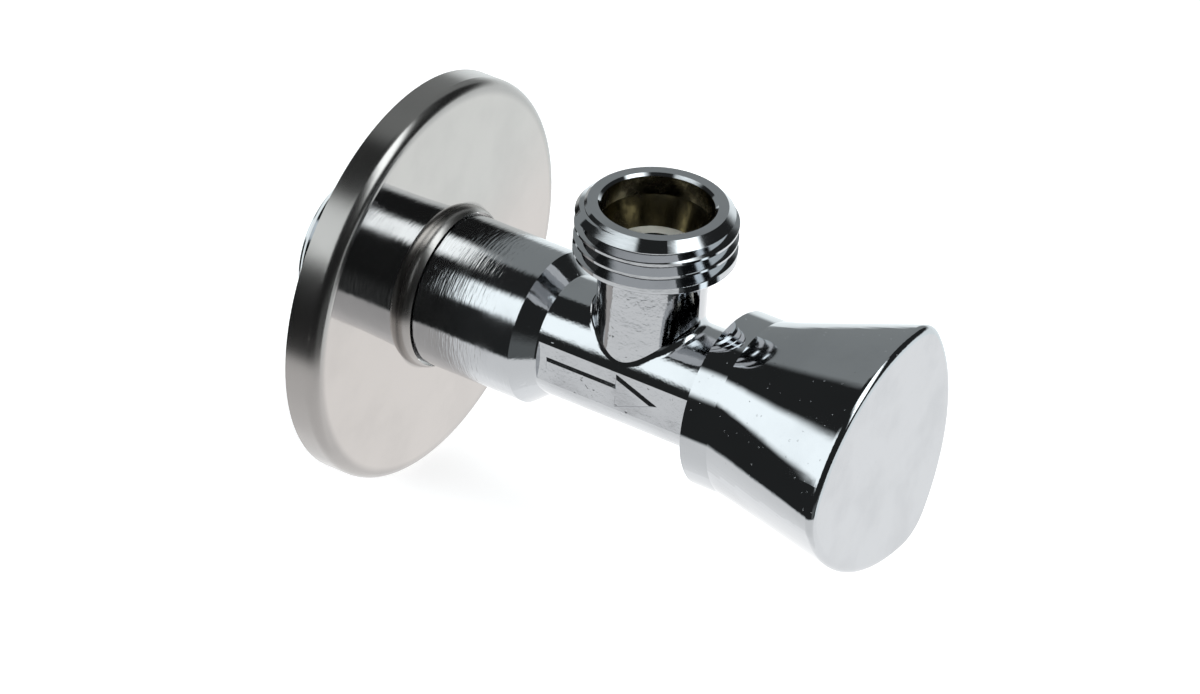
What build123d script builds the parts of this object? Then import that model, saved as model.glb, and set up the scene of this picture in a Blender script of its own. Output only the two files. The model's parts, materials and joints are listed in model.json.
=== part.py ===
from build123d import *

import os
from math import cos, hypot, radians, sin, sqrt, tan

# Angle stop valve, millimetres. +X runs along the valve axis from the wall to the knob, +Z up
# the outlet, and X = 0 is the wall plane, where the back rim of the rosette stands.
# Profiles of turned pieces are drawn in the XY plane as (x, radius) and revolved about X.

# G 1/2 pipe thread of the inlet and the outlet
PITCH = 1.814
THREAD_R = 10.478
THREAD_DEPTH = 1.162
FLANK_ANGLE = 27.5
CREST_TAPER = 0.03
EDGE_BREAK = 0.15

# body, from the wall side to the knob side
INLET_END = -11.0
INLET_FACE_R = 9.1
INLET_COLLAR = 1.2
WIDE_R = 10.2
WIDE_END = 22.4
CONE_END = 25.0
TUBE_R = 8.03
TUBE_END = 53.0
TUBE_FLAT = 7.55
FLAT_START = 25.3
ARROW_START = 26.5
ARROW_NECK = 37.0
ARROW_TIP = 43.5
ARROW_SHAFT = 1.9
ARROW_BARB = 2.5
ARROW_RISE = 0.4
ARROW_DRAFT = 40
INLET_BORE_R = 6.5
SEAT_BORE_R = 4.0
SEAT_RIM_R = 5.0
SEAT_X = 30.6
SEAT_HEIGHT = 0.9
CHAMBER_R = 6.3
HOUSING_R = 6.85
HOUSING_START = 41.6

# outlet nozzle
OUTLET_X = 37.0
OUTLET_TOP = 24.1
HEAD_BASE = 17.0
OUTLET_COLLAR = 0.4
OUTLET_START_ANGLE = -150
NECK_R = 7.05
NECK_FILLET = 1.2
OUTLET_FACE_R = 8.96
OUTLET_BORE_R = 7.26
OUTLET_MOUTH = 0.35
OUTLET_BORE_DEPTH = 3.0
OUTLET_THROAT_R = 5.9
OUTLET_FLOOR = 17.2
PORT_R = 4.2

# rosette
ROSETTE_R = 27.4
ROSETTE_RIM = 4.75
ROSETTE_RIM_BEND = 1.8
ROSETTE_CROWN = 1.1
ROSETTE_HOLE_R = 10.52
ROSETTE_COLLAR_R = 11.0
ROSETTE_COLLAR_BULGE = (7.0, 10.89)
ROSETTE_COLLAR_END = 7.55
SHEET = 0.6

# headwork housing
HOUSING_KEY_START = 49.0
HEX_START = TUBE_END
HEX_END = 56.6
HEX_FLAT = 16.0
NECK_OUTER_R = 5.6
NECK_END = 61.8
O_RING_GROOVE_X = 50.6
COLLAR_SEAT_X = 57.6
RUNNING = 0.05
KEY_GAP = 0.1

# spindle and circlip
SCREW_START = 42.0
SCREW_R = 2.95
COLLAR_X = 55.4
COLLAR_R = 4.4
COLLAR_WIDTH = 1.6
JOURNAL_R = 3.5
SEAL_XS = (58.9, 60.5)
SEAL_GROOVE_R = 2.3
SEAL_GROOVE = 1.3
CIRCLIP_X = 61.95
CIRCLIP_R = 4.7
CIRCLIP_WIDTH = 0.6
CIRCLIP_GROOVE_R = 2.75
CIRCLIP_GAP = 3.6
CIRCLIP_EYE_R = 0.45
CIRCLIP_EYE_AT = (2.5, -3.7)
FIT = 0.02
SPINDLE_SHOULDER = 63.2
SPINDLE_END = 69.0
SPLINE_R = 3.0
SPLINE_TEETH = 18
SPLINE_DEPTH = 0.35

# piston with cup, rubber and screw
WASHER_BACK = SEAT_X + 2.0
CUP_FLOOR = 0.8
CUP_LIP = 1.2
WASHER_R = 5.2
CUP_R = 5.7
NOSE_R = 4.0
PISTON_R = 5.35
PISTON_KEY_FLAT = 8.8
PISTON_HEAD_START = 41.8
PISTON_KEY_START = 44.6
PISTON_END = 50.8
PISTON_BORE_END = 37.4
PISTON_GROOVE_X = 43.2
PISTON_GROOVE = 1.6
PISTON_GROOVE_R = 3.95
FIXING_R = 1.5
FIXING_END = 36.6
FIXING_HEAD_R = 2.7
FIXING_HEAD = 1.4
FIXING_SLOT = 0.8

# knob
SKIRT_R = 11.7
SKIRT_START = 49.5
SKIRT_END = 53.5
FLARE_BEND = 0.02
FACE_X = 73.0
RIM_ROUND = 0.9
SIDE_R = 15.3
CORNER_R = 18.15
TIP_R = 6.0
CORNER_ANGLES = (60, 180, 300)
KNOB_WALL = 1.3
CAVITY_END = 71.6
HUB_R = 6.6
HUB_START = 63.6
RIB_START = 65.1
RIB_WALL = 1.2
RIB_INNER_R = 5.8
RIB_OUTER_R = 14.4
POCKET_END = 70.4
INSERT_FLAT = 9.4
INSERT_COLLAR_R = 4.1
INSERT_SLOT = 0.8
INSERT_SLOT_DEPTH = 2.0
CLIP_X = 64.5
CLIP_WIRE_R = 0.35
CLIP_ARC = 320

OUTLET_PLANE = Plane(origin=(OUTLET_X, 0, 0), x_dir=(1, 0, 0), z_dir=(0, -1, 0))
OUTLET_AXIS = Axis((OUTLET_X, 0, 0), (0, 0, 1))


def along_x(x):
    """The plane across the valve axis at x, with local x along +Y and local y along +Z."""
    return Plane.YZ.offset(x)


def turned(points):
    """A solid of revolution about the valve axis from (x, radius) points."""
    with BuildPart() as piece:
        with BuildSketch(Plane.XY):
            with BuildLine():
                Polyline(*points, close=True)
            make_face()
        revolve(axis=Axis.X)
    return piece


def o_ring(x, inner_r, outer_r):
    """A rubber ring of round section between two radii."""
    cord_r = (outer_r - inner_r) / 2
    with BuildPart() as piece:
        with BuildSketch(Plane.XY):
            with Locations((x, inner_r + cord_r)):
                Circle(cord_r)
        revolve(axis=Axis.X)
    return piece


def spline_outline(outer_r):
    """Corner points of a fine splined bore or shaft."""
    points = []
    for i in range(2 * SPLINE_TEETH):
        r = outer_r - SPLINE_DEPTH * (i % 2)
        angle = radians(180 / SPLINE_TEETH * i)
        points.append((r * cos(angle), r * sin(angle)))
    return points


def thread(start, collar, end, face_r):
    """A G 1/2 external thread along +Z: a plain collar, then a groove that runs out of the lead at end."""
    mouth = (PITCH - PITCH / 6) / 2
    root = mouth - tan(radians(FLANK_ANGLE)) * THREAD_DEPTH
    tip_r = THREAD_R - CREST_TAPER
    groove_start = start + collar + mouth
    with BuildPart() as groove:
        with BuildLine() as path:
            helix = Helix(PITCH, end + PITCH - groove_start, THREAD_R, center=(0, 0, groove_start))
        with BuildSketch(Plane(origin=helix @ 0, x_dir=(1, 0, 0), z_dir=helix % 0)):
            with BuildLine():
                Polyline(
                    (-THREAD_DEPTH, -root),
                    (0, -mouth),
                    (0.3, -mouth),
                    (0.3, mouth),
                    (0, mouth),
                    (-THREAD_DEPTH, root),
                    close=True,
                )
            make_face()
        sweep(path=path.wires()[0], is_frenet=True)
    # the blank's seam is turned away from the start of the groove
    with BuildPart() as threaded:
        with BuildSketch(Plane.XZ.rotated((0, 0, 100))):
            with BuildLine():
                Polyline(
                    (0, start),
                    (THREAD_R - EDGE_BREAK, start),
                    (THREAD_R, start + EDGE_BREAK),
                    (THREAD_R, start + collar),
                    (tip_r, end - tip_r + face_r),
                    (face_r, end),
                    (0, end),
                    close=True,
                )
            make_face()
        revolve(axis=Axis.Z)
        add(groove.part, mode=Mode.SUBTRACT)
    return threaded.part


def lobed_outline(flare, inset):
    """Six tangent arcs: a circle at flare 0, a rounded triangle with bulging sides at flare 1."""
    side = SKIRT_R + (SIDE_R - SKIRT_R) * flare - inset
    corner = SKIRT_R + (CORNER_R - SKIRT_R) * flare - inset
    tip = SKIRT_R + (TIP_R - SKIRT_R) * flare - inset
    # centre distances of the tip arcs and of the side arcs at full flare
    tip_out = CORNER_R - TIP_R
    side_in = SIDE_R - TIP_R
    side_out = (tip_out**2 - side_in**2) / (2 * side_in - tip_out)
    reach = sqrt(tip_out**2 + side_out**2 + tip_out * side_out)
    lean_out = (tip_out + side_out / 2) / reach
    lean_across = side_out * sin(radians(60)) / reach

    def at(angle, out, across):
        a = radians(angle)
        return (out * cos(a) - across * sin(a), out * sin(a) + across * cos(a))

    for angle in CORNER_ANGLES:
        left = at(angle, tip_out * flare + tip * lean_out, -tip * lean_across)
        right = at(angle, tip_out * flare + tip * lean_out, tip * lean_across)
        next_left = at(angle + 120, tip_out * flare + tip * lean_out, -tip * lean_across)
        ThreePointArc(left, at(angle, corner, 0), right)
        ThreePointArc(right, at(angle + 60, side, 0), next_left)


def flared_body(start, stations, inset, end):
    """The knob's round-to-lobed body from start to end, inset from its outer skin."""
    with BuildPart() as body:
        with BuildSketch(along_x(start)):
            Circle(SKIRT_R - inset)
        extrude(amount=SKIRT_END - start)
    with BuildPart() as flare:
        for step in range(stations + 1):
            x = SKIRT_END + (end - SKIRT_END) * step / stations
            with BuildSketch(along_x(x)):
                with BuildLine():
                    lobed_outline(flare_at(x), inset)
                make_face()
        loft()
    with BuildPart() as joined:
        add(body.part)
        add(flare.part)
    return joined.part


def flare_at(x):
    """How far the flare has opened at x, from 0 at the skirt to 1 at the face: a short curve, then straight."""
    way = (x - SKIRT_END) / (FACE_X - SKIRT_END)
    return (hypot(way, FLARE_BEND) - FLARE_BEND) / (hypot(1, FLARE_BEND) - FLARE_BEND)


# ---- valve body ----

with BuildPart() as flow_arrow:
    with BuildSketch(Plane.XZ.offset(TUBE_FLAT - RUNNING)):
        with BuildLine():
            Polyline(
                (ARROW_START, -ARROW_SHAFT / 2),
                (ARROW_NECK, -ARROW_SHAFT / 2),
                (ARROW_NECK, -ARROW_BARB),
                (ARROW_TIP, 0),
                (ARROW_NECK, ARROW_BARB),
                (ARROW_NECK, ARROW_SHAFT / 2),
                (ARROW_START, ARROW_SHAFT / 2),
                close=True,
            )
        make_face()
    extrude(amount=ARROW_RISE + RUNNING, taper=ARROW_DRAFT)

with BuildPart() as valve_body:
    # wide cylinder, cone and tube
    with BuildSketch(Plane.XY):
        with BuildLine():
            Polyline(
                (-0.5, 0),
                (-0.5, WIDE_R),
                (WIDE_END, WIDE_R),
                (CONE_END, TUBE_R),
                (TUBE_END, TUBE_R),
                (TUBE_END, 0),
                close=True,
            )
        make_face()
    revolve(axis=Axis.X)
    # outlet neck
    with BuildSketch(Plane.XY):
        with Locations((OUTLET_X, 0)):
            Circle(NECK_R)
    extrude(amount=HEAD_BASE + 0.5)
    fillet(valve_body.edges().filter_by(GeomType.BSPLINE), NECK_FILLET)
    # cast flat that carries the flow arrow
    with BuildSketch(Plane.XZ.offset(TUBE_FLAT)):
        with Locations(((FLAT_START + TUBE_END) / 2, 0)):
            Rectangle(TUBE_END - FLAT_START, 2 * TUBE_R)
    extrude(amount=TUBE_R, mode=Mode.SUBTRACT)
    add(flow_arrow.part)
    with Locations(Location((OUTLET_X, 0, 0), (0, 0, OUTLET_START_ANGLE))):
        add(thread(HEAD_BASE, OUTLET_COLLAR, OUTLET_TOP, OUTLET_FACE_R))
    with Locations(Location((0, 0, 0), (0, -90, 0))):
        add(thread(0, INLET_COLLAR, -INLET_END, INLET_FACE_R))
    # waterway, seat and headwork bore
    with BuildSketch(Plane.XY):
        with BuildLine():
            Polyline(
                (INLET_END - 1, 0),
                (INLET_END - 1, INLET_BORE_R + 1.6),
                (INLET_END + 0.6, INLET_BORE_R),
                (WIDE_END - 1, INLET_BORE_R),
                (WIDE_END + 2.5, SEAT_BORE_R),
                (SEAT_X, SEAT_BORE_R),
                (SEAT_X, SEAT_RIM_R),
                (SEAT_X - SEAT_HEIGHT, SEAT_RIM_R + 0.3),
                (SEAT_X - SEAT_HEIGHT, CHAMBER_R),
                (HOUSING_START, CHAMBER_R),
                (HOUSING_START, HOUSING_R),
                (TUBE_END - 0.5, HOUSING_R),
                (TUBE_END + 0.5, HOUSING_R + 1),
                (TUBE_END + 0.5, 0),
                close=True,
            )
        make_face()
    revolve(axis=Axis.X, mode=Mode.SUBTRACT)
    # outlet bore, throat and port
    with BuildSketch(OUTLET_PLANE):
        with BuildLine():
            Polyline(
                (0, OUTLET_TOP + 0.5),
                (OUTLET_BORE_R + OUTLET_MOUTH + 0.5, OUTLET_TOP + 0.5),
                (OUTLET_BORE_R, OUTLET_TOP - OUTLET_MOUTH),
                (OUTLET_BORE_R, OUTLET_TOP - OUTLET_BORE_DEPTH),
                (OUTLET_THROAT_R, OUTLET_FLOOR),
                (PORT_R, OUTLET_FLOOR),
                (PORT_R, 0),
                (0, 0),
                close=True,
            )
        make_face()
    revolve(axis=OUTLET_AXIS, mode=Mode.SUBTRACT)

# ---- wall rosette ----

with BuildPart() as rosette:
    with BuildSketch(Plane.XY) as sheet:
        crown_x = ROSETTE_RIM + ROSETTE_CROWN
        with BuildLine():
            Polyline(
                (crown_x, ROSETTE_COLLAR_R),
                (ROSETTE_RIM, ROSETTE_R),
                (0, ROSETTE_R),
                (0, ROSETTE_R - SHEET),
                (ROSETTE_RIM - SHEET, ROSETTE_R - SHEET),
                (crown_x - SHEET, ROSETTE_HOLE_R),
                (ROSETTE_COLLAR_END, ROSETTE_HOLE_R),
            )
            ThreePointArc(
                (ROSETTE_COLLAR_END, ROSETTE_HOLE_R),
                ROSETTE_COLLAR_BULGE,
                (crown_x, ROSETTE_COLLAR_R),
            )
        make_face()
        bend = sheet.vertices().sort_by_distance((ROSETTE_RIM, ROSETTE_R))
        fillet(bend[0], ROSETTE_RIM_BEND)
        bend = sheet.vertices().sort_by_distance((ROSETTE_RIM - SHEET, ROSETTE_R - SHEET))
        fillet(bend[0], ROSETTE_RIM_BEND - SHEET)
    revolve(axis=Axis.X)

# ---- headwork housing and its seal ----

with BuildPart() as headwork_housing:
    with BuildSketch(Plane.XY):
        with BuildLine():
            Polyline(
                (HOUSING_START, 0),
                (HOUSING_START, HOUSING_R - 0.5),
                (HOUSING_START + 0.5, HOUSING_R),
                (O_RING_GROOVE_X - 0.8, HOUSING_R),
                (O_RING_GROOVE_X - 0.8, HOUSING_R - 0.9),
                (O_RING_GROOVE_X + 0.8, HOUSING_R - 0.9),
                (O_RING_GROOVE_X + 0.8, HOUSING_R),
                (HEX_START, HOUSING_R),
                (HEX_START, TUBE_R),
                (HEX_START + 0.4, TUBE_R),
                (HEX_START + 0.4, NECK_OUTER_R),
                (NECK_END - 0.4, NECK_OUTER_R),
                (NECK_END, NECK_OUTER_R - 0.4),
                (NECK_END, 0),
                close=True,
            )
        make_face()
    revolve(axis=Axis.X)
    with BuildSketch(along_x(HEX_START + 0.4)):
        RegularPolygon(HEX_FLAT / 2, 6, major_radius=False)
    extrude(amount=HEX_END - HEX_START - 0.4)
    chamfer(headwork_housing.faces().filter_by(Axis.X).sort_by(Axis.X)[-2].outer_wire().edges(), 0.6)
    # round bore for the piston, hexagonal guide, spindle bore
    with BuildSketch(along_x(HOUSING_START)):
        Circle(PISTON_R + RUNNING)
    extrude(amount=HOUSING_KEY_START - HOUSING_START, mode=Mode.SUBTRACT)
    with BuildSketch(along_x(HOUSING_START)):
        RegularPolygon(PISTON_KEY_FLAT / 2 + KEY_GAP, 6, major_radius=False)
    extrude(amount=COLLAR_SEAT_X - HOUSING_START, mode=Mode.SUBTRACT)
    with BuildSketch(along_x(HOUSING_START)):
        Circle(JOURNAL_R + RUNNING)
    extrude(amount=NECK_END - HOUSING_START, mode=Mode.SUBTRACT)

housing_o_ring = o_ring(O_RING_GROOVE_X, HOUSING_R - 0.9, HOUSING_R)

# ---- spindle with its seals, washer and circlip ----

with BuildPart() as spindle:
    with BuildSketch(Plane.XY):
        with BuildLine():
            Polyline(
                (SCREW_START, 0),
                (SCREW_START, SCREW_R - 0.4),
                (SCREW_START + 0.4, SCREW_R),
                (COLLAR_X, SCREW_R),
                (COLLAR_X, COLLAR_R),
                (COLLAR_X + COLLAR_WIDTH, COLLAR_R),
                (COLLAR_X + COLLAR_WIDTH, JOURNAL_R),
                (SPINDLE_SHOULDER, JOURNAL_R),
                (SPINDLE_SHOULDER, 0),
                close=True,
            )
        make_face()
    revolve(axis=Axis.X)
    for groove_x in SEAL_XS:
        with BuildSketch(along_x(groove_x - SEAL_GROOVE / 2)):
            Circle(JOURNAL_R + 0.5)
            Circle(SEAL_GROOVE_R, mode=Mode.SUBTRACT)
        extrude(amount=SEAL_GROOVE, mode=Mode.SUBTRACT)
    with BuildSketch(along_x(CIRCLIP_X)):
        Circle(JOURNAL_R + 0.5)
        Circle(CIRCLIP_GROOVE_R, mode=Mode.SUBTRACT)
    extrude(amount=CIRCLIP_WIDTH, mode=Mode.SUBTRACT)
    with BuildSketch(along_x(SPINDLE_SHOULDER)):
        with BuildLine():
            Polyline(*spline_outline(SPLINE_R), close=True)
        make_face()
    extrude(amount=SPINDLE_END - SPINDLE_SHOULDER)

spindle_o_ring_inner = o_ring(SEAL_XS[0], SEAL_GROOVE_R, JOURNAL_R)
spindle_o_ring_outer = o_ring(SEAL_XS[1], SEAL_GROOVE_R, JOURNAL_R)

with BuildPart() as slip_washer:
    with BuildSketch(along_x(COLLAR_X + COLLAR_WIDTH)):
        Circle(COLLAR_R)
        Circle(JOURNAL_R + FIT, mode=Mode.SUBTRACT)
    extrude(amount=COLLAR_SEAT_X - COLLAR_X - COLLAR_WIDTH - RUNNING)

with BuildPart() as spindle_circlip:
    with BuildSketch(along_x(CIRCLIP_X + FIT)):
        Circle(CIRCLIP_R)
        Circle(CIRCLIP_GROOVE_R + FIT, mode=Mode.SUBTRACT)
        with Locations((0, -CIRCLIP_R)):
            Rectangle(CIRCLIP_GAP, CIRCLIP_R, mode=Mode.SUBTRACT)
        for side in (-1, 1):
            with Locations((side * CIRCLIP_EYE_AT[0], CIRCLIP_EYE_AT[1])):
                Circle(CIRCLIP_EYE_R, mode=Mode.SUBTRACT)
    extrude(amount=CIRCLIP_WIDTH - 2 * FIT)

# ---- piston with its seal, cup, rubber and screw ----

with BuildPart() as piston:
    with BuildSketch(Plane.XY):
        with BuildLine():
            Polyline(
                (WASHER_BACK + CUP_FLOOR, 0),
                (WASHER_BACK + CUP_FLOOR, NOSE_R),
                (PISTON_HEAD_START, NOSE_R),
                (PISTON_HEAD_START, PISTON_R),
                (PISTON_GROOVE_X - PISTON_GROOVE / 2, PISTON_R),
                (PISTON_GROOVE_X - PISTON_GROOVE / 2, PISTON_GROOVE_R),
                (PISTON_GROOVE_X + PISTON_GROOVE / 2, PISTON_GROOVE_R),
                (PISTON_GROOVE_X + PISTON_GROOVE / 2, PISTON_R),
                (PISTON_KEY_START, PISTON_R),
                (PISTON_KEY_START, 0),
                close=True,
            )
        make_face()
    revolve(axis=Axis.X)
    with BuildSketch(along_x(PISTON_KEY_START)):
        RegularPolygon(PISTON_KEY_FLAT / 2, 6, major_radius=False)
    extrude(amount=PISTON_END - PISTON_KEY_START)
    with BuildSketch(along_x(PISTON_BORE_END)):
        Circle(SCREW_R + RUNNING)
    extrude(amount=PISTON_END - PISTON_BORE_END, mode=Mode.SUBTRACT)
    with BuildSketch(along_x(WASHER_BACK)):
        Circle(FIXING_R)
    extrude(amount=FIXING_END - WASHER_BACK, mode=Mode.SUBTRACT)

piston_o_ring = o_ring(PISTON_GROOVE_X, PISTON_GROOVE_R, PISTON_R)

washer_cup = turned(
    [
        (WASHER_BACK - CUP_LIP, WASHER_R),
        (WASHER_BACK, WASHER_R),
        (WASHER_BACK, FIXING_R),
        (WASHER_BACK + CUP_FLOOR, FIXING_R),
        (WASHER_BACK + CUP_FLOOR, CUP_R - 0.3),
        (WASHER_BACK + CUP_FLOOR - 0.3, CUP_R),
        (WASHER_BACK - CUP_LIP, CUP_R),
    ]
)

seat_washer = turned(
    [
        (SEAT_X, FIXING_R),
        (WASHER_BACK, FIXING_R),
        (WASHER_BACK, WASHER_R),
        (SEAT_X + 0.2, WASHER_R),
        (SEAT_X, WASHER_R - 0.2),
    ]
)

with BuildPart() as washer_screw:
    with BuildSketch(Plane.XY):
        with BuildLine():
            Polyline(
                (SEAT_X - FIXING_HEAD, 0),
                (SEAT_X - FIXING_HEAD, FIXING_HEAD_R - 0.3),
                (SEAT_X - FIXING_HEAD + 0.3, FIXING_HEAD_R),
                (SEAT_X, FIXING_HEAD_R),
                (SEAT_X, FIXING_R),
                (FIXING_END, FIXING_R),
                (FIXING_END, 0),
                close=True,
            )
        make_face()
    revolve(axis=Axis.X)
    with BuildSketch(along_x(SEAT_X - FIXING_HEAD)):
        Rectangle(3 * FIXING_HEAD_R, FIXING_SLOT)
    extrude(amount=FIXING_HEAD / 2, mode=Mode.SUBTRACT)

# ---- knob ----

with BuildPart() as knob_shell:
    add(flared_body(SKIRT_START, 5, 0, FACE_X))
    fillet(knob_shell.faces().sort_by(Axis.X)[-1].edges(), RIM_ROUND)
    add(flared_body(SKIRT_START - 1, 4, KNOB_WALL, CAVITY_END), mode=Mode.SUBTRACT)
    with BuildSketch(along_x(HUB_START)):
        Circle(HUB_R)
    extrude(amount=CAVITY_END - HUB_START + 0.5)
    for angle in CORNER_ANGLES:
        with BuildSketch(Plane.XY.rotated((angle, 0, 0))):
            with BuildLine():
                Polyline(
                    (RIB_START, RIB_INNER_R),
                    (CAVITY_END + 0.4, RIB_INNER_R),
                    (CAVITY_END + 0.4, RIB_OUTER_R),
                    (CAVITY_END, CORNER_R - 2 * KNOB_WALL),
                    (RIB_START, RIB_OUTER_R),
                    close=True,
                )
            make_face()
        extrude(amount=RIB_WALL / 2, both=True)
    with BuildSketch(along_x(HUB_START)):
        RegularPolygon(INSERT_FLAT / 2, 6, major_radius=False)
    extrude(amount=POCKET_END - HUB_START, mode=Mode.SUBTRACT)

with BuildPart() as knob_insert:
    with BuildSketch(along_x(CLIP_X + 1.1)):
        RegularPolygon(INSERT_FLAT / 2, 6, major_radius=False)
    extrude(amount=POCKET_END - CLIP_X - 1.1)
    with BuildSketch(along_x(HUB_START)):
        Circle(INSERT_COLLAR_R)
    extrude(amount=POCKET_END - HUB_START)
    with BuildSketch(along_x(HUB_START)):
        with BuildLine():
            Polyline(*spline_outline(SPLINE_R + RUNNING), close=True)
        make_face()
    extrude(amount=POCKET_END - HUB_START - 0.8, mode=Mode.SUBTRACT)
    with BuildSketch(along_x(HUB_START)):
        Rectangle(INSERT_SLOT, 3 * INSERT_COLLAR_R)
        Rectangle(3 * INSERT_COLLAR_R, INSERT_SLOT)
    extrude(amount=INSERT_SLOT_DEPTH, mode=Mode.SUBTRACT)
    with BuildSketch(along_x(CLIP_X - CLIP_WIRE_R)):
        Circle(INSERT_COLLAR_R + 1)
        Circle(INSERT_COLLAR_R - 0.25, mode=Mode.SUBTRACT)
    extrude(amount=2 * CLIP_WIRE_R, mode=Mode.SUBTRACT)

with BuildPart() as knob_clip:
    with BuildSketch(Plane.XY):
        with Locations((CLIP_X, INSERT_COLLAR_R - 0.25 + CLIP_WIRE_R)):
            Circle(CLIP_WIRE_R)
    revolve(axis=Axis.X, revolution_arc=CLIP_ARC)

# ---- one file for each piece ----

PIECES = {
    "valve_body": valve_body,
    "rosette": rosette,
    "headwork_housing": headwork_housing,
    "housing_o_ring": housing_o_ring,
    "spindle": spindle,
    "spindle_o_ring_inner": spindle_o_ring_inner,
    "spindle_o_ring_outer": spindle_o_ring_outer,
    "slip_washer": slip_washer,
    "spindle_circlip": spindle_circlip,
    "piston": piston,
    "piston_o_ring": piston_o_ring,
    "washer_cup": washer_cup,
    "seat_washer": seat_washer,
    "washer_screw": washer_screw,
    "knob_shell": knob_shell,
    "knob_insert": knob_insert,
    "knob_clip": knob_clip,
}

os.makedirs("parts", exist_ok=True)
for name, piece in PIECES.items():
    piece.part.label = name
    export_step(piece.part, f"parts/{name}.step")
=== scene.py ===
"""Looks of the angle stop valve: a finish for every CAD node, a pale studio and the camera."""

import json
import math

import bpy
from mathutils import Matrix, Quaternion, Vector


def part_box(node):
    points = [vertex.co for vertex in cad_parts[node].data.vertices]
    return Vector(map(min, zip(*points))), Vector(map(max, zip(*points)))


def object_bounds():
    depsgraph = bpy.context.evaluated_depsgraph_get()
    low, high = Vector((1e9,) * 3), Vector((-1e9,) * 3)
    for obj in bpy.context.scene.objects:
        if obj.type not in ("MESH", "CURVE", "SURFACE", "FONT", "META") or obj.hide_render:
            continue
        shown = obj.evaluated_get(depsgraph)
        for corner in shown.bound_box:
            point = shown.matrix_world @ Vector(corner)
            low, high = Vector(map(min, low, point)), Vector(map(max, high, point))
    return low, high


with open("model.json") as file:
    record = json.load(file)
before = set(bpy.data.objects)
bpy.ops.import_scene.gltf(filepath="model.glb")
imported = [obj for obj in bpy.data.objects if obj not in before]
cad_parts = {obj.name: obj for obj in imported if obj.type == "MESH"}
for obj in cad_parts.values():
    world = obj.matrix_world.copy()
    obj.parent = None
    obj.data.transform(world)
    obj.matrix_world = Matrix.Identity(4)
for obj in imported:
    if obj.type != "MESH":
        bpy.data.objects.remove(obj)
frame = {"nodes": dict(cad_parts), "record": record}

MM = 0.001
MICRON = 1e-6

cad_low, cad_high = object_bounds()
body_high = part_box("valve_body")[1]
rosette_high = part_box("rosette")[1]
mounts = {mount["name"]: mount for mount in frame["record"]["mounts"]}

# camera: lens and sensor in millimetres, distances in metres
LENS = 214.4
SENSOR = 36.0
DISTANCE = 0.907
AZIMUTH = math.radians(31.4)
ELEVATION = math.radians(32.2)
ROLL = math.radians(3.7)
AIM = (cad_low + cad_high) / 2 + Vector((1.4, -4.25, 3.06)) * MM
CLIP_NEAR = 0.01
CLIP_FAR = 20

# places on the body, in metres
OUTLET_X = mounts["outlet_thread"]["pos_m"][0]
THREAD_R = mounts["outlet_thread"]["dims"]["r_mm"] * MM
OUTLET_BORE_R = mounts["outlet_bore"]["dims"]["r_mm"] * MM
OUTLET_TOP = body_high.z
OUTLET_LIP = OUTLET_TOP - 0.3 * MM
BORE_FLOOR_TOP = OUTLET_TOP - 5 * MM
HEAD_BASE = OUTLET_TOP - 7.2 * MM
TURNED_START = -0.2 * MM
TURNED_END = 22.3 * MM
TURNED_LOW_R = 9.1 * MM
TUBE_INSIDE_R = 7.0 * MM

# where the rosette's finishes change, as distances from the valve axis, and where the knob's face is
ROSETTE_FACE_R = rosette_high.z - 2.2 * MM
ROSETTE_RIM_R = rosette_high.z - 1.0 * MM
COLLAR_INSIDE_R = 11.1 * MM
COLLAR_OUTSIDE_R = 11.5 * MM
KNOB_FACE_X = cad_high.x - 0.05 * MM

# how squarely a face points along a direction, as the cosine
SQUARE_ON = 0.9
NOT_OUTWARD = 0.1
INWARD = -0.3
BACK_BEGINS = -0.1
BACK_FULLY = -0.6

# colours of the finishes, as linear reflectance
CHROME = (0.535, 0.552, 0.572)
CHROME_HAZE = (0.50, 0.515, 0.535)
STAINLESS = (0.525, 0.498, 0.480)
# darker stainless: used for the random cloud, and as painted shade on the rim and collar bends
STAINLESS_CLOUD_AND_SHADE = (0.345, 0.334, 0.326)
CAST_BRASS = (0.30, 0.27, 0.185)
CAST_BRASS_DARK = (0.10, 0.088, 0.062)
CAST_FLOOR = (0.88, 0.86, 0.80)
CAST_FLOOR_DARK = (0.60, 0.56, 0.47)
BRASS = (0.83, 0.66, 0.32)
BRASS_DULL = (0.62, 0.46, 0.22)
NICKEL = (0.50, 0.48, 0.44)
NICKEL_DULL = (0.34, 0.32, 0.28)
STEEL = (0.50, 0.49, 0.48)
STEEL_DARK = (0.30, 0.29, 0.28)
RUBBER = (0.018, 0.018, 0.019)
RUBBER_BLOOM = (0.055, 0.054, 0.052)
PLASTIC = (0.78, 0.77, 0.73)
PLASTIC_SHADE = (0.66, 0.64, 0.59)
FLOOR = (0.86, 0.86, 0.865)

# roughness that the rosette's satin parts have over its polished face
SATIN_RIM = 0.17
SATIN_COLLAR = 0.22
SATIN_BACK = 0.36


# ---------------------------------------------------------------- node helpers

def new_material(name):
    """An empty node material."""
    material = bpy.data.materials.new(name)
    material.use_nodes = True
    material.node_tree.nodes.clear()
    return material


def add(tree, kind, inputs=None, **settings):
    """Adds a shader node; inputs maps a socket's name or number to a value or an output."""
    made = tree.nodes.new("ShaderNode" + kind)
    for name, value in settings.items():
        setattr(made, name, value)
    for key, value in (inputs or {}).items():
        if isinstance(value, bpy.types.NodeSocket):
            tree.links.new(value, made.inputs[key])
        else:
            made.inputs[key].default_value = value
    return made


def noise(tree, per_metre, stretch=(1, 1, 1), detail=3.0, rough=0.5, warp=0.0):
    """Noise from 0 to 1 on the object, with per_metre features to a metre along each CAD axis."""
    position = add(tree, "TexCoord").outputs["Object"]
    scaled = add(tree, "Mapping", {"Vector": position, "Scale": stretch})
    inputs = {
        "Vector": scaled.outputs[0],
        "Scale": per_metre,
        "Detail": detail,
        "Roughness": rough,
        "Distortion": warp,
    }
    return add(tree, "TexNoise", inputs).outputs["Fac"]


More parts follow.
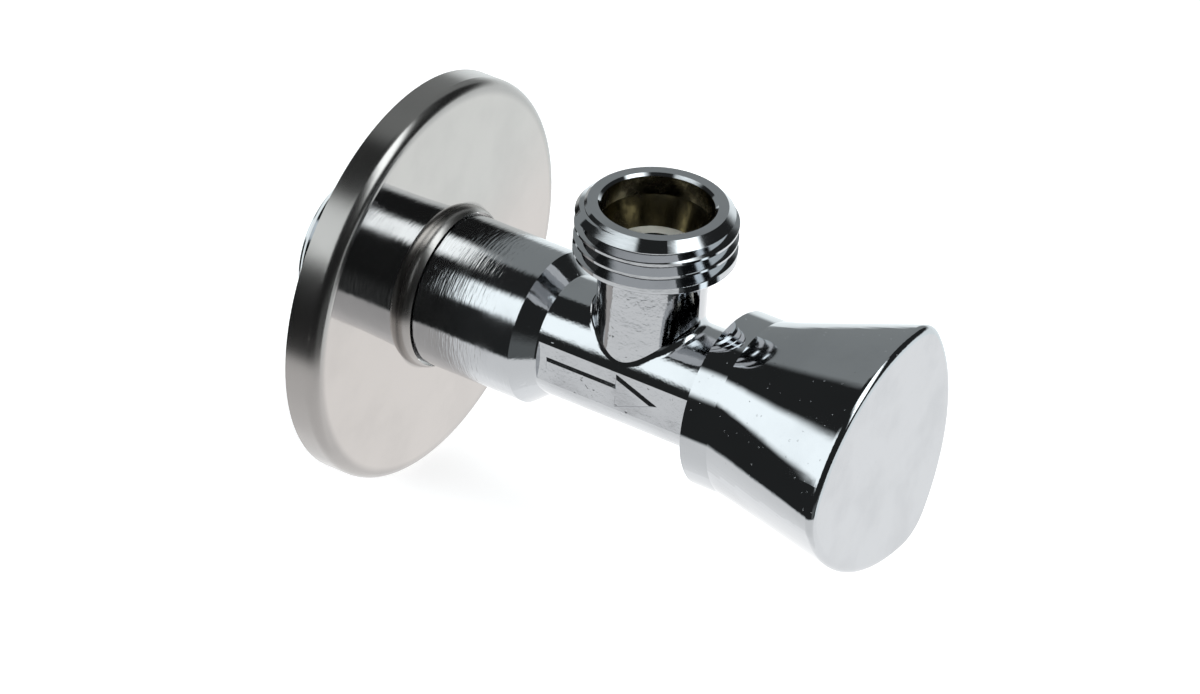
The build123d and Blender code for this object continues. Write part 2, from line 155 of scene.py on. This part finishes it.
def axis_distance(tree):
    """Distance from the valve axis on the object."""
    position = add(tree, "TexCoord").outputs["Object"]
    across = add(tree, "Mapping", {"Vector": position, "Scale": (0, 1, 1)})
    return add(tree, "VectorMath", {0: across.outputs[0]}, operation="LENGTH").outputs["Value"]


def spread(tree, value, low, high, new_low=0.0, new_high=1.0):
    """Maps low..high smoothly on to new_low..new_high."""
    inputs = {
        "Value": value,
        "From Min": low,
        "From Max": high,
        "To Min": new_low,
        "To Max": new_high,
    }
    return add(tree, "MapRange", inputs, interpolation_type="SMOOTHSTEP").outputs["Result"]


def combine(tree, operation, first, second):
    """One arithmetic step on two values."""
    return add(tree, "Math", {0: first, 1: second}, operation=operation).outputs[0]


def between(tree, factor, first, second):
    """Colour first where factor is 0 and second where it is 1."""
    inputs = {0: factor, 6: (*first, 1), 7: (*second, 1)}
    return add(tree, "Mix", inputs, data_type="RGBA").outputs[2]


def bump(tree, height, depth, below=None):
    """A bump that many metres high, on top of the bump below."""
    inputs = {"Height": height, "Distance": depth}
    if below is not None:
        inputs["Normal"] = below
    return add(tree, "Bump", inputs).outputs["Normal"]


def surface(tree, colour, roughness, normal, metal=1.0, **extra):
    """The material's Principled shader and output."""
    inputs = {"Base Color": colour, "Roughness": roughness, "Normal": normal, "Metallic": metal}
    inputs.update(extra)
    shader = add(tree, "BsdfPrincipled", inputs)
    add(tree, "OutputMaterial", {"Surface": shader.outputs[0]})


# ---------------------------------------------------------------- finishes

def chrome(name, relief, sharp, hazy):
    """Chrome plate: a thin haze that comes and goes, over the relief that relief(tree) makes."""
    material = new_material(name)
    tree = material.node_tree
    haze = spread(tree, noise(tree, 140, detail=4), 0.42, 0.72)
    specks = spread(tree, noise(tree, 1700, detail=1), 0.72, 0.80)
    worn = combine(tree, "MAXIMUM", haze, specks)
    colour = between(tree, worn, CHROME, CHROME_HAZE)
    roughness = spread(tree, worn, 0.0, 1.0, sharp, hazy)
    surface(tree, colour, roughness, relief(tree))
    return material


def turned_relief(tree):
    """Turning lines round the valve axis, broken in places, with much finer ones between them."""
    lines = noise(tree, 1, (2300, 70, 70), detail=4, rough=0.65)
    broken = noise(tree, 1, (2700, 420, 420), detail=2)
    fine = noise(tree, 1, (7500, 45, 45), detail=2)
    wave = noise(tree, 210, detail=1)
    under = bump(tree, fine, 10 * MICRON, bump(tree, wave, 9 * MICRON))
    return bump(tree, lines, 24 * MICRON, bump(tree, broken, 34 * MICRON, under))


def cast_relief(tree):
    """The orange-peel skin of a casting under its plate, with a few pits."""
    grain = noise(tree, 2100, detail=2, rough=0.6)
    wave = noise(tree, 400, detail=1)
    pitted = spread(tree, noise(tree, 170, detail=2), 0.52, 0.66)
    pits = combine(tree, "MULTIPLY", spread(tree, noise(tree, 1300, detail=1), 0.66, 0.76), pitted)
    waved = bump(tree, wave, 26 * MICRON)
    under = bump(tree, combine(tree, "SUBTRACT", 1.0, pits), 20 * MICRON, waved)
    return bump(tree, grain, 11 * MICRON, under)


def thread_relief(tree):
    """Light chatter from the thread tool."""
    chatter = noise(tree, 1, (1100, 1100, 3200), detail=3)
    wave = noise(tree, 500, detail=1)
    return bump(tree, chatter, 3.5 * MICRON, bump(tree, wave, 6 * MICRON))


def mirror_relief(tree):
    """A polished shell: slow waves that bend reflections a little, and a few specks of dust."""
    wave = noise(tree, 150, detail=1)
    ripple = noise(tree, 520, detail=1)
    grain = noise(tree, 1800, detail=2)
    dust = spread(tree, noise(tree, 2600, detail=0), 0.82, 0.86)
    under = bump(tree, ripple, 3.5 * MICRON, bump(tree, wave, 34 * MICRON))
    return bump(tree, dust, 12 * MICRON, bump(tree, grain, 0.5 * MICRON, under))


def bore_brass():
    """Unplated brass inside the casting, dark and grainy."""
    material = new_material("cast_brass_bore")
    tree = material.node_tree
    stain = spread(tree, noise(tree, 420, detail=5, rough=0.65), 0.36, 0.66)
    colour = between(tree, stain, CAST_BRASS, CAST_BRASS_DARK)
    roughness = spread(tree, stain, 0.0, 1.0, 0.14, 0.28)
    rings = noise(tree, 1, (160, 160, 2600), detail=4)
    grain = noise(tree, 2600, detail=3)
    ringed = bump(tree, rings, 4 * MICRON)
    surface(tree, colour, roughness, bump(tree, grain, 5 * MICRON, ringed))
    return material


def bore_floor():
    """The bottom of the outlet bore: matte, chalky from water."""
    material = new_material("chalky_bore_floor")
    tree = material.node_tree
    stain = spread(tree, noise(tree, 300, detail=4), 0.40, 0.68)
    colour = between(tree, stain, CAST_FLOOR, CAST_FLOOR_DARK)
    roughness = spread(tree, stain, 0.0, 1.0, 0.55, 0.42)
    grain = noise(tree, 2400, detail=3)
    surface(tree, colour, roughness, bump(tree, grain, 8 * MICRON), metal=0.25)
    return material


def stainless():
    """Pressed stainless: a polished face between a satin collar and rim, and a dull back, with
    painted shade darkening the rim and collar.
    """
    material = new_material("pressed_stainless")
    tree = material.node_tree
    radius = axis_distance(tree)
    rim = spread(tree, radius, ROSETTE_FACE_R, ROSETTE_RIM_R)
    collar = spread(tree, radius, COLLAR_INSIDE_R, COLLAR_OUTSIDE_R, 1.0, 0.0)
    normal = add(tree, "TexCoord").outputs["Normal"]
    facing = add(tree, "SeparateXYZ", {0: normal}).outputs["X"]
    back = spread(tree, facing, BACK_FULLY, BACK_BEGINS, 1.0, 0.0)
    # the rim and collar bends, where the colour is darkened as painted shade
    shaded_bends = combine(tree, "MAXIMUM", rim, collar)
    cloud = spread(tree, noise(tree, 90, detail=4), 0.38, 0.70)
    face_grain = noise(tree, 1, (30, 1500, 60), detail=5, rough=0.7)
    rim_grain = noise(tree, 1, (2600, 120, 120), detail=4, rough=0.7)
    clouded = combine(tree, "MULTIPLY", cloud, 0.2)
    # colour darkening: a little from the random cloud, and painted shade on the rim and collar bends
    cloud_and_painted_shade = combine(tree, "ADD", clouded, combine(tree, "MULTIPLY", shaded_bends, 0.7))
    colour = between(tree, cloud_and_painted_shade, STAINLESS, STAINLESS_CLOUD_AND_SHADE)
    satin = combine(tree, "MULTIPLY", rim, SATIN_RIM)
    satin = combine(tree, "MAXIMUM", satin, combine(tree, "MULTIPLY", collar, SATIN_COLLAR))
    satin = combine(tree, "MAXIMUM", satin, combine(tree, "MULTIPLY", back, SATIN_BACK))
    roughness = combine(tree, "ADD", spread(tree, cloud, 0.0, 1.0, 0.045, 0.085), satin)
    wave = bump(tree, noise(tree, 70, detail=1), 16 * MICRON)
    polished = bump(tree, face_grain, 0.3 * MICRON, wave)
    grained = bump(tree, combine(tree, "MULTIPLY", rim_grain, rim), 6 * MICRON, polished)
    surface(tree, colour, roughness, grained)
    return material


def machined(name, bright, dull, lines=(2200, 40, 40), sharp=0.16, hazy=0.32):
    """Turned bare metal with tool lines round the valve axis and a little tarnish."""
    material = new_material(name)
    tree = material.node_tree
    tarnish = spread(tree, noise(tree, 320, detail=4), 0.38, 0.70)
    colour = between(tree, tarnish, bright, dull)
    roughness = spread(tree, tarnish, 0.0, 1.0, sharp, hazy)
    surface(tree, colour, roughness, bump(tree, noise(tree, 1, lines, detail=4), 5 * MICRON))
    return material


def rubber():
    """Black nitrile with a dusty bloom and a moulded grain."""
    material = new_material("nitrile_rubber")
    tree = material.node_tree
    bloom = spread(tree, noise(tree, 700, detail=5), 0.50, 0.78)
    colour = between(tree, bloom, RUBBER, RUBBER_BLOOM)
    roughness = spread(tree, bloom, 0.0, 1.0, 0.48, 0.72)
    grain = noise(tree, 5200, detail=3)
    surface(tree, colour, roughness, bump(tree, grain, 6 * MICRON), metal=0.0)
    return material


def plastic():
    """White moulded plastic: a soft sheen, faint flow marks and a little light inside."""
    material = new_material("moulded_plastic")
    tree = material.node_tree
    flow = spread(tree, noise(tree, 260, (1, 1, 3), detail=3, warp=0.6), 0.35, 0.70)
    colour = between(tree, flow, PLASTIC, PLASTIC_SHADE)
    roughness = spread(tree, flow, 0.0, 1.0, 0.32, 0.46)
    extra = {"Subsurface Weight": 0.15, "Subsurface Scale": 0.0008}
    grain = bump(tree, noise(tree, 2600), 4 * MICRON)
    surface(tree, colour, roughness, grain, metal=0.0, **extra)
    return material


# ---------------------------------------------------------------- finishes on the CAD nodes

def finish_by_region(node, finishes, region_of):
    """Gives each face of a CAD node the finish that region_of(centre, normal) names."""
    mesh = frame["nodes"][node].data
    order = list(finishes)
    mesh.materials.clear()
    for name in order:
        mesh.materials.append(finishes[name])
    for face in mesh.polygons:
        face.material_index = order.index(region_of(face.center, face.normal))


def body_region(centre, normal):
    """Which finish the brass body has at a point."""
    axis_r = math.hypot(centre.y, centre.z)
    outlet_arm = Vector((centre.x - OUTLET_X, centre.y, 0))
    outward = normal.dot(outlet_arm.normalized()) if outlet_arm.length > 0 else 0.0
    in_head = centre.z > HEAD_BASE and outlet_arm.length < THREAD_R + MM
    if in_head:
        inside = outlet_arm.length < OUTLET_BORE_R + 0.02 * MM
        if inside and normal.z > SQUARE_ON and centre.z < BORE_FLOOR_TOP:
            return "bore floor"
        if inside and centre.z < OUTLET_LIP and outward < NOT_OUTWARD:
            return "bore"
        return "thread"
    if axis_r < TUBE_INSIDE_R or (outlet_arm.length < OUTLET_BORE_R - MM and outward < INWARD):
        return "bore"
    if centre.x < TURNED_START:
        return "thread"
    if centre.x < TURNED_END and axis_r > TURNED_LOW_R:
        return "turned"
    return "cast"


def knob_region(centre, normal):
    """The front face, or the flared side of the knob."""
    return "face" if centre.x > KNOB_FACE_X and normal.x > SQUARE_ON else "side"


brass = machined("machined_brass", BRASS, BRASS_DULL)
dull_nickel = machined("dull_nickel", NICKEL, NICKEL_DULL)
spring_steel = machined("spring_steel", STEEL, STEEL_DARK, (900, 900, 900), 0.22, 0.40)
black_rubber = rubber()
white_plastic = plastic()

finish_by_region("valve_body", {
    "turned": chrome("turned_chrome", turned_relief, 0.08, 0.17),
    "cast": chrome("cast_chrome", cast_relief, 0.06, 0.15),
    "thread": chrome("thread_chrome", thread_relief, 0.05, 0.12),
    "bore": bore_brass(),
    "bore floor": bore_floor(),
}, body_region)
finish_by_region("knob_shell", {
    "side": chrome("mirror_chrome", mirror_relief, 0.03, 0.07),
    "face": chrome("mirror_chrome_face", mirror_relief, 0.06, 0.14),
}, knob_region)

PLAIN_FINISHES = {
    "rosette": stainless(),
    "headwork_housing": dull_nickel,
    "spindle": brass,
    "piston": brass,
    "washer_cup": brass,
    "washer_screw": spring_steel,
    "spindle_circlip": spring_steel,
    "knob_clip": spring_steel,
    "housing_o_ring": black_rubber,
    "spindle_o_ring_inner": black_rubber,
    "spindle_o_ring_outer": black_rubber,
    "piston_o_ring": black_rubber,
    "seat_washer": black_rubber,
    "slip_washer": white_plastic,
    "knob_insert": white_plastic,
}
for node, finish in PLAIN_FINISHES.items():
    frame["nodes"][node].data.materials.clear()
    frame["nodes"][node].data.materials.append(finish)


# ---------------------------------------------------------------- studio

# floor and wall that the camera sees
FLOOR_RADIUS = 3.0
WALL_HEIGHT = 2.5
FLOOR_GLOW = 0.80
FLOOR_ROUGHNESS = 0.7
FLOOR_MOTTLE = 0.99
WALL_RADIANCE = 1.0

# table that the metal mirrors: its radiance at two values of the direction's Y, and its end in Z
TABLE_FRONT = 0.91
TABLE_FRONT_Y = -0.6
TABLE_BACK = 1.15
TABLE_BACK_Y = 0.4
TABLE_EDGE_HIGH = -0.46
TABLE_EDGE_LOW = -0.53

# The rest of what the metal mirrors: (from, to) degrees over the valve, from the front horizon at 0
# past the zenith at 90 to the back horizon at 180, (from, to) of the direction's X, softness in
# degrees and radiance.
STUDIO = {
    "front soft box": ((23, 57), (-0.95, -0.05), 5, 1.65),
    "key soft box": ((77, 109), (0.10, 0.85), 7, 3.00),
    "ceiling": ((99, 172), (-1.20, 0.05), 4, 0.30),
    "low glow": ((-55, -5), (0.60, 1.20), 14, 0.12),
    "white sweep": ((172, 300), (-1.20, 1.20), 9, 1.17),
}
STUDIO_DARK = 0.025
STUDIO_TINT = (0.94, 1.0, 1.01)
TABLE_TINT = (1.0, 1.0, 1.0)
EDGE_X = 0.06


def stage_mesh(name, vertices, faces, material):
    """A mesh that isn't part of the object."""
    mesh = bpy.data.meshes.new(name)
    mesh.from_pydata(vertices, [], faces)
    mesh.materials.append(material)
    made = bpy.data.objects.new(name, mesh)
    bpy.context.scene.collection.objects.link(made)
    return made


def glowing(name, colour, strength):
    """A plain surface that only gives light."""
    material = new_material(name)
    glow = add(material.node_tree, "Emission", {"Color": (*colour, 1), "Strength": strength})
    add(material.node_tree, "OutputMaterial", {"Surface": glow.outputs[0]})
    return material


def ring(radius, height, count=96):
    """Points on a level circle under or over the valve."""
    angles = [2 * math.pi * step / count for step in range(count)]
    return [(AIM.x + radius * math.cos(a), radius * math.sin(a), height) for a in angles]


def build_floor():
    """A pale table that also glows a little, and a pale wall far round it."""
    material = new_material("pale_table")
    tree = material.node_tree
    mottle = spread(tree, noise(tree, 9, detail=3), 0.3, 0.7)
    colour = between(tree, mottle, FLOOR, tuple(FLOOR_MOTTLE * part for part in FLOOR))
    grain = bump(tree, noise(tree, 900), 20 * MICRON)
    glow = {"Emission Color": (1, 1, 1, 1), "Emission Strength": FLOOR_GLOW}
    surface(tree, colour, FLOOR_ROUGHNESS, grain, metal=0.0, **glow)
    edge = ring(FLOOR_RADIUS, cad_low.z)
    floor = stage_mesh("floor", edge, [tuple(range(len(edge)))], material)
    floor.visible_glossy = False

    count = len(edge)
    top = ring(FLOOR_RADIUS, cad_low.z + WALL_HEIGHT)
    faces = [(i, (i + 1) % count, count + (i + 1) % count, count + i) for i in range(count)]
    pale_wall = glowing("pale_wall", (1, 1, 1), WALL_RADIANCE)
    wall = stage_mesh("backdrop", edge + top, faces, pale_wall)
    wall.visible_diffuse = False
    wall.visible_glossy = False
    wall.visible_shadow = False


def window(tree, value, low, high, edge):
    """1 between low and high, with soft edges, and 0 outside."""
    opening = spread(tree, value, low - edge, low + edge)
    closing = spread(tree, value, high - edge, high + edge, 1.0, 0.0)
    return combine(tree, "MULTIPLY", opening, closing)


def build_light():
    """The studio above the table: its radiance in each direction."""
    world = bpy.data.worlds.new("studio")
    world.use_nodes = True
    tree = world.node_tree
    tree.nodes.clear()
    direction = add(tree, "TexCoord").outputs["Generated"]
    parts = add(tree, "SeparateXYZ", {0: direction})
    past_zenith = combine(tree, "ARCTAN2", parts.outputs["Y"], parts.outputs["Z"])
    past_zenith = combine(tree, "MULTIPLY", past_zenith, math.degrees(1.0))
    over = combine(tree, "ADD", past_zenith, 90.0)
    table = spread(tree, parts.outputs["Z"], TABLE_EDGE_LOW, TABLE_EDGE_HIGH, 1.0, 0.0)
    toward_back = parts.outputs["Y"]
    glare = spread(tree, toward_back, TABLE_FRONT_Y, TABLE_BACK_Y, TABLE_FRONT, TABLE_BACK)
    level = combine(tree, "MULTIPLY", table, glare)
    for degrees, sideways, softness, radiance in STUDIO.values():
        across = window(tree, over, *degrees, softness)
        along = window(tree, parts.outputs["X"], *sideways, EDGE_X)
        part = combine(tree, "MULTIPLY", combine(tree, "MULTIPLY", across, along), radiance)
        level = combine(tree, "MAXIMUM", level, part)
    level = combine(tree, "ADD", level, STUDIO_DARK)
    tint = between(tree, table, STUDIO_TINT, TABLE_TINT)
    light = add(tree, "Background", {"Color": tint, "Strength": level})
    add(tree, "OutputWorld", {"Surface": light.outputs[0]})
    bpy.context.scene.world = world


def build_camera():
    """The camera, aimed near the middle of the object and tilted a little."""
    back = Vector((
        math.sin(AZIMUTH) * math.cos(ELEVATION),
        -math.cos(AZIMUTH) * math.cos(ELEVATION),
        math.sin(ELEVATION),
    ))
    lens = bpy.data.cameras.new("camera")
    lens.lens = LENS
    lens.sensor_width = SENSOR
    lens.clip_start = CLIP_NEAR
    lens.clip_end = CLIP_FAR
    camera = bpy.data.objects.new("camera", lens)
    camera.rotation_mode = "QUATERNION"
    camera.location = AIM + back * DISTANCE
    camera.rotation_quaternion = (-back).to_track_quat("-Z", "Y") @ Quaternion((0, 0, 1), ROLL)
    bpy.context.scene.collection.objects.link(camera)
    bpy.context.scene.camera = camera


build_floor()
build_light()
build_camera()
bpy.context.scene.view_settings.view_transform = "Standard"
